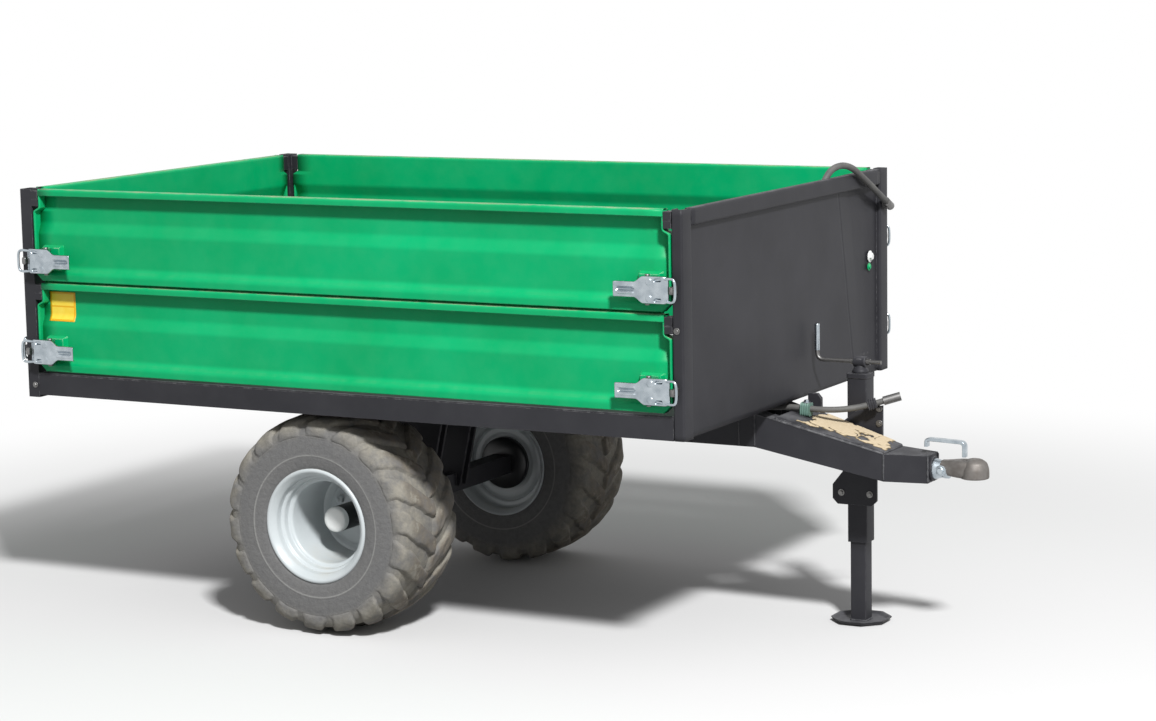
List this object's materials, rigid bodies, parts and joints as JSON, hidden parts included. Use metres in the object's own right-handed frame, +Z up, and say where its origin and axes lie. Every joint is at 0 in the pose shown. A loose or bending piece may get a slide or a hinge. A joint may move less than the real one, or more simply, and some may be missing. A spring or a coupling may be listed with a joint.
{
  "type": "tipping trailer",
  "caption": "Single-axle tipping trailer: hydraulic steel bed with top-hinged side boards and latches, ball coupling drawbar and a crank jack.",
  "frame": {"origin": "on the ground under the centre of the trailer's bounding box", "axes": "+X forward along the drawbar to the coupling, +Y to the trailer's left, +Z up"},
  "size_m": [2.878, 1.522, 1.3442],
  "materials": {
    "green_paint": "gloss paint on pressed steel",
    "dark_paint": "satin dark grey paint",
    "rim_paint": "silver wheel paint",
    "hub_paint": "black paint",
    "tyre": "matt rubber, dusty",
    "rubber": "black rubber",
    "zinc": "zinc-plated steel",
    "chrome_rod": "hard chrome"
  },
  "bodies": {
    "chassis": {"chassis_frame": "dark_paint", "rest_pads": "rubber", "axle_beam": "dark_paint", "drawbar": "dark_paint", "drawbar_plate": "dark_paint", "coupling_head": "zinc", "coupling_handle": "zinc", "jack_tube": "dark_paint", "jack_crank": "dark_paint", "jack_bracket": "dark_paint", "drawbar_hose": "rubber", "hose_fittings": "zinc", "hose_clips": "dark_paint", "bed_stop": "dark_paint"},
    "bed": {"bed_floor": "dark_paint", "bed_sills": "dark_paint", "bed_crossmembers": "dark_paint", "bed_long_members": "dark_paint", "front_board": "dark_paint", "rear_posts": "dark_paint", "front_hinge_tabs": "dark_paint", "right_catches": "dark_paint", "left_catches": "dark_paint", "tip_hinge_lugs": "dark_paint", "cylinder_bracket": "dark_paint", "front_hose": "rubber", "front_hose_fittings": "zinc", "rear_catches": "dark_paint"},
    "right_wheel": {"right_tyre": "tyre", "right_rim": "rim_paint", "right_hub": "hub_paint"},
    "left_wheel": {"left_tyre": "tyre", "left_rim": "rim_paint", "left_hub": "hub_paint"},
    "jack_slider": {"jack_leg": "dark_paint"},
    "right_lower_side": {"right_lower_board": "green_paint", "right_lower_latches": "zinc"},
    "right_upper_side": {"right_upper_board": "green_paint", "right_upper_latches": "zinc"},
    "left_lower_side": {"left_lower_board": "green_paint", "left_lower_latches": "zinc"},
    "left_upper_side": {"left_upper_board": "green_paint", "left_upper_latches": "zinc"},
    "rear_gate": {"tailgate": "green_paint", "tailgate_latches": "zinc"},
    "barrel": {"cylinder_barrel": "dark_paint"},
    "rod": {"cylinder_rod": "chrome_rod"}
  },
  "joints": [
    {"name": "right_wheel_spin", "type": "hinge", "parent": "chassis", "child": "right_wheel", "pos_m": [-0.393, -0.541, 0.33], "axis": [0, 1, 0], "continuous": true},
    {"name": "left_wheel_spin", "type": "hinge", "parent": "chassis", "child": "left_wheel", "pos_m": [-0.393, 0.541, 0.33], "axis": [0, 1, 0], "continuous": true},
    {"name": "jack_slide", "type": "slide", "parent": "chassis", "child": "jack_slider", "axis": [0, 0, 1], "range_m": [0, 0.21]},
    {"name": "bed_tip", "type": "hinge", "parent": "chassis", "child": "bed", "pos_m": [-0.893, 0, 0.603], "axis": [0, -1, 0], "range_deg": [0, 45]},
    {"name": "cylinder_swing", "type": "hinge", "parent": "chassis", "child": "barrel", "pos_m": [-0.713, 0, 0.459], "axis": [0, -1, 0], "range_deg": [0, 49]},
    {"name": "cylinder_extend", "type": "slide", "parent": "barrel", "child": "rod", "axis": [0.9656, 0, 0.26], "range_m": [0, 0.175]},
    {"name": "right_lower_open", "type": "hinge", "parent": "bed", "child": "right_lower_side", "pos_m": [-0.393, -0.717, 0.985], "axis": [-1, 0, 0], "range_deg": [0, 90]},
    {"name": "right_upper_open", "type": "hinge", "parent": "bed", "child": "right_upper_side", "pos_m": [-0.393, -0.717, 1.271], "axis": [-1, 0, 0], "range_deg": [0, 90]},
    {"name": "left_lower_open", "type": "hinge", "parent": "bed", "child": "left_lower_side", "pos_m": [-0.393, 0.717, 0.985], "axis": [1, 0, 0], "range_deg": [0, 90]},
    {"name": "left_upper_open", "type": "hinge", "parent": "bed", "child": "left_upper_side", "pos_m": [-0.393, 0.717, 1.271], "axis": [1, 0, 0], "range_deg": [0, 90]},
    {"name": "tailgate_open", "type": "hinge", "parent": "bed", "child": "rear_gate", "pos_m": [-1.395, 0, 1.271], "axis": [0, 1, 0], "range_deg": [0, 80]}
  ],
  "couplings": [
    {"joint": "cylinder_swing", "follows": "bed_tip", "ratio": 1.0633},
    {"joint": "cylinder_extend", "follows": "bed_tip", "m_per_rad": 0.2195}
  ]
}
